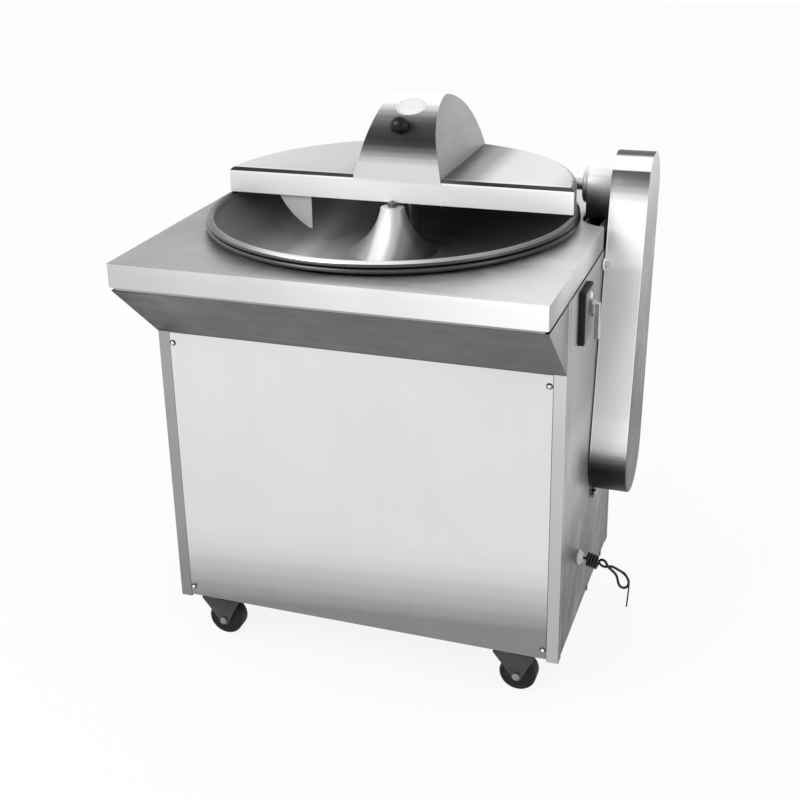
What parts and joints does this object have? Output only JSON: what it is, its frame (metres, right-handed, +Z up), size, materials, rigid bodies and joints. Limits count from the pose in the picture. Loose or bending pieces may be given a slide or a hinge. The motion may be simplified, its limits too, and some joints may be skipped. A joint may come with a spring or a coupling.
{
  "type": "bowl cutter",
  "caption": "Free-standing bowl cutter: turning trough bowl, hooded knife shaft driven by belts in a side guard, square table on a cabinet with swivel casters.",
  "frame": {"origin": "on the floor, under the centre of the machine's outline without its mains cord", "axes": "+X towards the belt guard, +Y towards the hood's hinges at the back, +Z up"},
  "size_m": [0.7818, 0.69, 0.954],
  "materials": {
    "brushed_stainless": "brushed",
    "polished_stainless": "polished",
    "structural_steel": "mill finish",
    "machined_steel": "turned",
    "knife_steel": "ground",
    "bright_casting": "turned",
    "cast_iron": "machined",
    "grey_aluminium": "painted casting",
    "belt_rubber": "matte",
    "black_plastic": "satin",
    "grey_plastic": "satin",
    "white_plastic": "satin",
    "cord_rubber": "matte",
    "black_painted_steel": "satin",
    "wheel_rubber": "matte"
  },
  "bodies": {
    "cabinet": {"table_top": "brushed_stainless", "table_frame": "structural_steel", "cornice_panels": "brushed_stainless", "corner_posts": "brushed_stainless", "base_rails": "structural_steel", "motor_rails": "structural_steel", "top_rails": "structural_steel", "spindle_plate": "structural_steel", "spindle_housing": "cast_iron", "ball_bearings": "machined_steel", "gearbox": "grey_aluminium", "bowl_motor": "grey_aluminium", "knife_motor": "grey_aluminium", "motor_base_plate": "structural_steel", "bearing_housing": "bright_casting", "housing_cap": "bright_casting", "guard_back_plate": "brushed_stainless", "belt_guard": "brushed_stainless", "guard_screws": "machined_steel", "drive_belts": "belt_rubber", "switch_box": "black_plastic", "switch_faceplate": "grey_plastic", "cable_gland": "grey_plastic", "hinge_brackets": "brushed_stainless", "front_panel": "brushed_stainless", "back_panel": "brushed_stainless", "left_panel": "brushed_stainless", "right_panel": "brushed_stainless", "panel_screws": "machined_steel", "caster_plates": "structural_steel", "cord_lead": "cord_rubber", "cord_hank": "cord_rubber", "cord_tail": "cord_rubber"},
    "cover": {"bowl_cover": "brushed_stainless", "hinge_leaves": "brushed_stainless", "cover_knob": "black_plastic", "scraper_plate": "brushed_stainless"},
    "knife_shaft": {"knife_shaft": "machined_steel", "knife_blade_1": "knife_steel", "knife_blade_2": "knife_steel", "knife_blade_3": "knife_steel", "knife_spacers": "machined_steel", "knife_nut": "machined_steel", "knife_pulley": "cast_iron"},
    "motor_rotor": {"motor_shaft": "machined_steel", "motor_pulley": "cast_iron"},
    "bowl": {"bowl": "polished_stainless", "bowl_spindle": "machined_steel", "bowl_nut": "polished_stainless"},
    "start_button": {"start_button": "white_plastic"},
    "selector_knob": {"selector_knob": "grey_plastic"},
    "fork_front_left": {"caster_fork_front_left": "black_painted_steel"},
    "wheel_front_left": {"caster_wheel_front_left": "wheel_rubber"},
    "fork_front_right": {"caster_fork_front_right": "black_painted_steel"},
    "wheel_front_right": {"caster_wheel_front_right": "wheel_rubber"},
    "fork_rear_left": {"caster_fork_rear_left": "black_painted_steel"},
    "wheel_rear_left": {"caster_wheel_rear_left": "wheel_rubber"},
    "fork_rear_right": {"caster_fork_rear_right": "black_painted_steel"},
    "wheel_rear_right": {"caster_wheel_rear_right": "wheel_rubber"}
  },
  "joints": [
    {"name": "bowl_turn", "type": "hinge", "parent": "cabinet", "child": "bowl", "pos_m": [-0.0315, 0, 0.75], "axis": [0, 0, 1], "continuous": true},
    {"name": "knife_spin", "type": "hinge", "parent": "cabinet", "child": "knife_shaft", "pos_m": [-0.0315, 0.145, 0.792], "axis": [1, 0, 0], "continuous": true},
    {"name": "motor_spin", "type": "hinge", "parent": "cabinet", "child": "motor_rotor", "pos_m": [0.3125, 0.06525, 0.35319], "axis": [1, 0, 0], "continuous": true},
    {"name": "cover_tilt", "type": "hinge", "parent": "cabinet", "child": "cover", "pos_m": [-0.0315, 0.325, 0.785], "axis": [-1, 0, 0], "range_deg": [0, 80]},
    {"name": "button_press", "type": "slide", "parent": "cabinet", "child": "start_button", "axis": [-1, 0, 0], "range_m": [0, 0.003], "stiffness_N_per_m": 300},
    {"name": "selector_turn", "type": "hinge", "parent": "cabinet", "child": "selector_knob", "pos_m": [0.3225, -0.1095, 0.6666], "axis": [1, 0, 0], "range_deg": [0, 90]},
    {"name": "swivel_front_left", "type": "hinge", "parent": "cabinet", "child": "fork_front_left", "pos_m": [-0.3215, -0.173, 0.083], "axis": [0, 0, 1], "continuous": true},
    {"name": "roll_front_left", "type": "hinge", "parent": "fork_front_left", "child": "wheel_front_left", "pos_m": [-0.3025, -0.173, 0.0315], "axis": [0, 1, 0], "continuous": true},
    {"name": "swivel_front_right", "type": "hinge", "parent": "cabinet", "child": "fork_front_right", "pos_m": [0.2205, -0.173, 0.083], "axis": [0, 0, 1], "continuous": true},
    {"name": "roll_front_right", "type": "hinge", "parent": "fork_front_right", "child": "wheel_front_right", "pos_m": [0.2395, -0.173, 0.0315], "axis": [0, 1, 0], "continuous": true},
    {"name": "swivel_rear_left", "type": "hinge", "parent": "cabinet", "child": "fork_rear_left", "pos_m": [-0.3215, 0.18, 0.083], "axis": [0, 0, 1], "continuous": true},
    {"name": "roll_rear_left", "type": "hinge", "parent": "fork_rear_left", "child": "wheel_rear_left", "pos_m": [-0.3025, 0.18, 0.0315], "axis": [0, 1, 0], "continuous": true},
    {"name": "swivel_rear_right", "type": "hinge", "parent": "cabinet", "child": "fork_rear_right", "pos_m": [0.2205, 0.18, 0.083], "axis": [0, 0, 1], "continuous": true},
    {"name": "roll_rear_right", "type": "hinge", "parent": "fork_rear_right", "child": "wheel_rear_right", "pos_m": [0.2395, 0.18, 0.0315], "axis": [0, 1, 0], "continuous": true}
  ],
  "couplings": [
    {"joint": "motor_spin", "follows": "knife_spin", "ratio": 0.65385}
  ]
}
